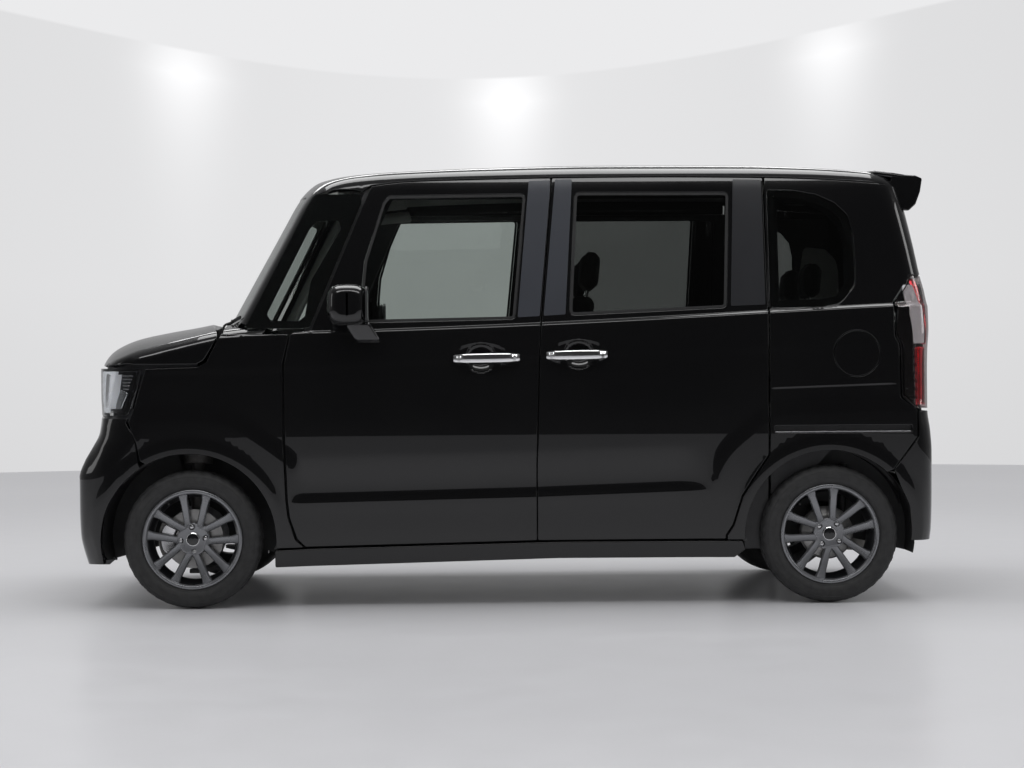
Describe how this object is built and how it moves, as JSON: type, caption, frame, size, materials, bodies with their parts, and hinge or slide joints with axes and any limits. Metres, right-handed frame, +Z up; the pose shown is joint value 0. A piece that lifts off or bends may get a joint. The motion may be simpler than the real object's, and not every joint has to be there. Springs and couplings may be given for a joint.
{
  "type": "kei car",
  "caption": "Tall, boxy small car with hinged front doors, fixed sliding rear doors, lifting bonnet and tailgate, steerable front wheels and a hollow cabin with seats.",
  "frame": {"origin": "on the floor, under the centre of the car's length and width", "axes": "-X towards the front of the car, +Y towards its right-hand side, +Z up"},
  "size_m": [3.395, 1.81, 1.7899],
  "materials": {
    "body_paint": "gloss",
    "clear_glass": "clear",
    "privacy_glass": "dark tint",
    "lamp_lens": "clear",
    "tail_lens": "gloss",
    "chrome_trim": "polished",
    "black_trim": "matte",
    "cabin_plastic": "grained",
    "seat_cloth": "woven",
    "underbody": "satin",
    "engine_metal": "cast",
    "chassis_steel": "satin",
    "tank_plastic": "matte",
    "exhaust_steel": "dull",
    "wheel_alloy": "gloss dark grey",
    "tyre": "matte"
  },
  "bodies": {
    "car_body": {"body_side_left": "body_paint", "body_side_right": "body_paint", "bulkhead": "underbody", "cowl_panel": "black_trim", "dashboard": "cabin_plastic", "engine_block": "engine_metal", "exhaust": "exhaust_steel", "floor_pan": "underbody", "front_aprons": "underbody", "front_bumper": "body_paint", "front_fenders": "body_paint", "front_grille": "black_trim", "front_seat_backs": "seat_cloth", "front_seat_cushions": "seat_cloth", "front_subframe": "chassis_steel", "fuel_filler": "chassis_steel", "fuel_tank": "tank_plastic", "headlamps": "lamp_lens", "quarter_glass": "privacy_glass", "radiator": "engine_metal", "rear_axle_beam": "chassis_steel", "rear_bumper": "body_paint", "rear_seat_back": "seat_cloth", "rear_seat_cushion": "seat_cloth", "rear_springs": "chassis_steel", "rear_wheelhouses": "underbody", "roof_panel": "body_paint", "side_skirts": "body_paint", "sliding_door_glass": "privacy_glass", "sliding_door_handles": "chrome_trim", "sliding_door_left": "body_paint", "sliding_door_right": "body_paint", "steering_column": "cabin_plastic", "tail_lamps": "tail_lens", "windscreen": "clear_glass"},
    "bonnet": {"bonnet": "body_paint"},
    "front_door_left": {"front_door_left": "body_paint", "front_door_glass_left": "clear_glass", "door_handle_left": "chrome_trim", "door_mirror_left": "body_paint"},
    "front_door_right": {"front_door_right": "body_paint", "front_door_glass_right": "clear_glass", "door_handle_right": "chrome_trim", "door_mirror_right": "body_paint"},
    "tailgate": {"tailgate": "body_paint", "tailgate_glass": "privacy_glass", "rear_spoiler": "body_paint"},
    "fuel_lid": {"fuel_lid": "body_paint"},
    "steering_wheel": {"steering_wheel": "cabin_plastic"},
    "knuckle_left": {"knuckle_left": "chassis_steel"},
    "knuckle_right": {"knuckle_right": "chassis_steel"},
    "front_left_wheel": {"wheel_front_left": "wheel_alloy", "tyre_front_left": "tyre"},
    "front_right_wheel": {"wheel_front_right": "wheel_alloy", "tyre_front_right": "tyre"},
    "rear_left_wheel": {"wheel_rear_left": "wheel_alloy", "tyre_rear_left": "tyre"},
    "rear_right_wheel": {"wheel_rear_right": "wheel_alloy", "tyre_rear_right": "tyre"}
  },
  "joints": [
    {"name": "front_door_left_hinge", "type": "hinge", "parent": "car_body", "child": "front_door_left", "pos_m": [-0.872, -0.738, 0.7], "axis": [0, 0, -1], "range_deg": [0, 68]},
    {"name": "front_door_right_hinge", "type": "hinge", "parent": "car_body", "child": "front_door_right", "pos_m": [-0.872, 0.738, 0.7], "axis": [0, 0, 1], "range_deg": [0, 68]},
    {"name": "bonnet_hinge", "type": "hinge", "parent": "car_body", "child": "bonnet", "pos_m": [-1.118, 0, 1.142], "axis": [0, 1, 0], "range_deg": [0, 50]},
    {"name": "tailgate_hinge", "type": "hinge", "parent": "car_body", "child": "tailgate", "pos_m": [1.474, 0, 1.742], "axis": [0, -1, 0], "range_deg": [0, 78]},
    {"name": "fuel_lid_hinge", "type": "hinge", "parent": "car_body", "child": "fuel_lid", "pos_m": [1.299, -0.738, 0.988], "axis": [0, 0, -1], "range_deg": [0, 90]},
    {"name": "steering_left", "type": "hinge", "parent": "car_body", "child": "knuckle_left", "pos_m": [-1.24, -0.622, 0.155], "axis": [0, 0.1977, 0.9803], "range_deg": [-35, 35]},
    {"name": "steering_right", "type": "hinge", "parent": "car_body", "child": "knuckle_right", "pos_m": [-1.24, 0.622, 0.155], "axis": [0, -0.1977, 0.9803], "range_deg": [-35, 35]},
    {"name": "steering_wheel_turn", "type": "hinge", "parent": "car_body", "child": "steering_wheel", "pos_m": [-0.43, 0.335, 0.99], "axis": [0.891, 0, 0.454], "range_deg": [-540, 540]},
    {"name": "front_left_wheel_spin", "type": "hinge", "parent": "knuckle_left", "child": "front_left_wheel", "pos_m": [-1.24, -0.6525, 0.273], "axis": [0, 1, 0], "continuous": true},
    {"name": "front_right_wheel_spin", "type": "hinge", "parent": "knuckle_right", "child": "front_right_wheel", "pos_m": [-1.24, 0.6525, 0.273], "axis": [0, 1, 0], "continuous": true},
    {"name": "rear_left_wheel_spin", "type": "hinge", "parent": "car_body", "child": "rear_left_wheel", "pos_m": [1.28, -0.6525, 0.273], "axis": [0, 1, 0], "continuous": true},
    {"name": "rear_right_wheel_spin", "type": "hinge", "parent": "car_body", "child": "rear_right_wheel", "pos_m": [1.28, 0.6525, 0.273], "axis": [0, 1, 0], "continuous": true}
  ],
  "couplings": [
    {"joint": "steering_right", "follows": "steering_left", "ratio": 1},
    {"joint": "steering_wheel_turn", "follows": "steering_left", "ratio": 15.4}
  ]
}
